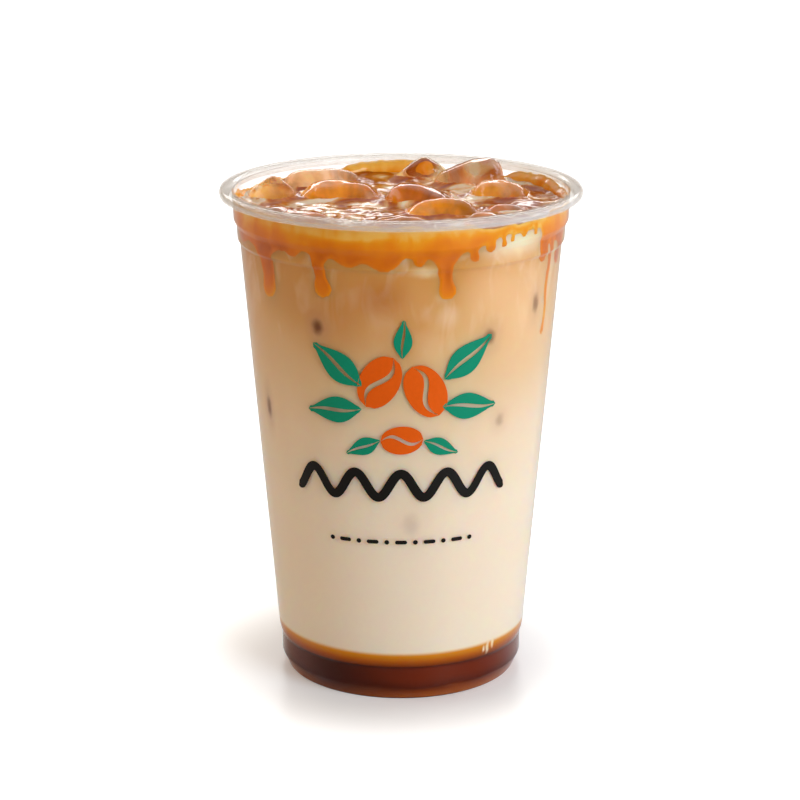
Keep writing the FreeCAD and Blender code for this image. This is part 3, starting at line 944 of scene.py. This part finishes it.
def makeWaveBand():
    w = waveBand
    bpy.ops.object.select_all(action="DESELECT")
    bpy.ops.mesh.primitive_grid_add(x_subdivisions=w["points"], y_subdivisions=2, size=2)
    piece = bpy.context.object
    turns = math.tau * w["waves"] / w["length"]
    for vertex in piece.data.vertices:
        along = vertex.co.x * w["length"] / 2
        slope = -w["swing"] * turns * math.sin(turns * along)
        lean = math.hypot(1, slope)
        fromEnd = w["length"] / 2 - abs(along)
        half = w["stroke"] / 2 * math.sqrt(min(1.0, fromEnd * 2 / w["stroke"] + 0.02))
        across = vertex.co.y * half
        middle = w["height"] + w["swing"] * math.cos(turns * along)
        vertex.co = ((along - across * slope / lean) * mm, (middle + across / lean) * mm, 0)
    return piece


def makePrint():
    beanHalves = [half for bean in beans for half in splitOval(*bean, pointed=False)]
    printOn("printBeans", beanHalves, printInk("inkOrangeScreenPrinted", "E25C00"))
    leafHalves = [half for leaf in leaves for half in splitOval(*leaf, pointed=True)]
    printOn("printLeaves", leafHalves, printInk("inkTealScreenPrinted", "008C6C"))
    black = printInk("inkBlackScreenPrinted", "12100E")
    printOn("printWave", [makeWaveBand()], black)
    d = dashRow
    marks = []
    for k in range(d["marks"]):
        along = mix(-d["length"] / 2, d["length"] / 2, k / (d["marks"] - 1))
        long, wide = d["dash"] if k % 2 else d["dot"]
        corners = []
        for q in range(d["corners"]):
            angle = math.tau * q / d["corners"]
            straight = math.copysign((long - wide) / 2, math.cos(angle))
            corners.append((along + straight + wide / 2 * math.cos(angle),
                            d["height"] + wide / 2 * math.sin(angle)))
        marks.append(flatShape(corners))
    printOn("printDashes", marks, black)


makePrint()
print("print made")

# Stage: a white floor, soft boxes and the camera, all in metres and degrees
stage = {
    "floorReach": 4.0, "whiteFrom": 0.036, "whiteTo": 0.083, "whiteNear": 0.21,
    "camera": (-0.000289, -0.65, 0.263548), "lookDown": 16.134, "lens": 110.15,
    "ambient": 0.30, "ambientTone": "FFCF96", "floorTone": "E4EEF8",
    "glossBehind": (-0.1, 0.5), "glossUpper": (0.24, 0.42), "glossDim": 0.4,
    "lamps": [
        # Name, place, aimed at, width, height, watts, colour
        ("keyRight", (0.62, -0.62, 0.42), (0, 0, 0.07), 0.5, 0.6, 6.6, "F3F8FF"),
        ("fillLeft", (-0.78, 0.0, 0.30), (0, 0, 0.07), 0.4, 0.6, 1.9, "FFE9D2"),
        ("sideBack", (0.68, 0.42, 0.40), (0, 0, 0.10), 0.7, 0.36, 1.8, "FFFFFF"),
        ("glintBack", (-0.05, 0.85, 0.43), (0, 0, 0.13), 1.0, 0.12, 1.9, "FFFFFF"),
    ],
}


def floorMaterial():
    # White acrylic sheet: even, softly glossy, and white to the eye away from the cup
    material, tree, place = newMaterial("acrylicWhiteSatin")
    grain = addNode(tree, "ShaderNodeTexNoise", {"Scale": 1 / (30 * mm)}, {"Vector": place})
    rough = addNode(tree, "ShaderNodeMapRange", {"To Min": 0.28, "To Max": 0.36},
                    {"Value": grain})
    sheet = addNode(tree, "ShaderNodeBsdfPrincipled", {
        "Base Color": srgb(stage["floorTone"]), "IOR": 1.45}, {"Roughness": rough})
    away = addNode(tree, "ShaderNodeVectorMath", {}, {0: place}, operation="LENGTH")
    far = addNode(tree, "ShaderNodeMapRange", {
        "From Min": stage["whiteFrom"], "From Max": stage["whiteTo"], "To Min": stage["whiteNear"]},
        {"Value": away.outputs["Value"]}, interpolation_type="SMOOTHSTEP")
    path = addNode(tree, "ShaderNodeLightPath")
    seen = eitherRay(tree, path, "Is Camera Ray", "Is Transmission Ray")
    strength = addNode(tree, "ShaderNodeMath", links={0: seen, 1: far}, operation="MULTIPLY")
    white = addNode(tree, "ShaderNodeEmission", {"Color": srgb("FEFEFE")}, {"Strength": strength})
    lifted = addNode(tree, "ShaderNodeAddShader", links={0: sheet, 1: white})
    addNode(tree, "ShaderNodeOutputMaterial", links={"Surface": lifted})
    return material


def makeStage():
    bpy.ops.object.select_all(action="DESELECT")
    bpy.ops.mesh.primitive_plane_add(size=2 * stage["floorReach"], location=(0, 0, 0))
    floor = bpy.context.object
    floor.name = "floor"
    floor.data.materials.append(floorMaterial())
    world = bpy.data.worlds.new("studio")
    bpy.context.scene.world = world
    world.use_nodes = True
    tree = world.node_tree
    tree.nodes.clear()
    path = addNode(tree, "ShaderNodeLightPath")
    seen = eitherRay(tree, path, "Is Camera Ray", "Is Transmission Ray")
    # Shiny surfaces see white only high up behind the cup, as the rest of a studio is dark
    facing = addNode(tree, "ShaderNodeTexCoord").outputs["Generated"]
    parts = addNode(tree, "ShaderNodeSeparateXYZ", links={0: facing})
    start, end = stage["glossBehind"]
    behind = addNode(tree, "ShaderNodeMapRange", {"From Min": start, "From Max": end},
                     {"Value": parts.outputs["Y"]}, interpolation_type="SMOOTHSTEP")
    start, end = stage["glossUpper"]
    upper = addNode(tree, "ShaderNodeMapRange", {"From Min": start, "From Max": end},
                    {"Value": parts.outputs["Z"]}, interpolation_type="SMOOTHSTEP")
    shiny = addNode(tree, "ShaderNodeMath", links={
        0: path.outputs["Is Glossy Ray"], 1: behind}, operation="MULTIPLY")
    shiny = addNode(tree, "ShaderNodeMath", links={0: shiny, 1: upper}, operation="MULTIPLY")
    seen = addNode(tree, "ShaderNodeMath", links={0: seen, 1: shiny}, operation="MAXIMUM")
    strength = addNode(tree, "ShaderNodeMapRange", {"To Min": stage["ambient"]}, {"Value": seen})
    tone = mixColour(tree, seen, stage["ambientTone"], "FFFFFF")
    dimmed = addNode(tree, "ShaderNodeMath", links={
        0: path.outputs["Is Glossy Ray"], 1: seen}, operation="SUBTRACT", use_clamp=True)
    dimmed = addNode(tree, "ShaderNodeMapRange", {"To Min": 1.0, "To Max": stage["glossDim"]},
                     {"Value": dimmed})
    strength = addNode(tree, "ShaderNodeMath", links={0: strength, 1: dimmed},
                       operation="MULTIPLY")
    white = addNode(tree, "ShaderNodeBackground", links={"Color": tone, "Strength": strength})
    addNode(tree, "ShaderNodeOutputWorld", links={"Surface": white})
    for name, place, aim, width, height, watts, tone in stage["lamps"]:
        lamp = bpy.data.objects.new(name, bpy.data.lights.new(name, "AREA"))
        bpy.context.scene.collection.objects.link(lamp)
        lamp.data.shape = "RECTANGLE"
        lamp.data.size, lamp.data.size_y = width, height
        lamp.data.energy = watts
        lamp.data.color = srgb(tone)[:3]
        lamp.location = place
        lamp.rotation_euler = (Vector(aim) - Vector(place)).to_track_quat("-Z", "Y").to_euler()
    camera = bpy.data.objects.new("camera", bpy.data.cameras.new("camera"))
    bpy.context.scene.collection.objects.link(camera)
    camera.data.lens = stage["lens"]
    camera.location = stage["camera"]
    camera.rotation_euler = (math.radians(90 - stage["lookDown"]), 0, 0)
    bpy.context.scene.camera = camera
    bpy.context.scene.view_settings.view_transform = "Standard"


makeStage()
print("stage made")
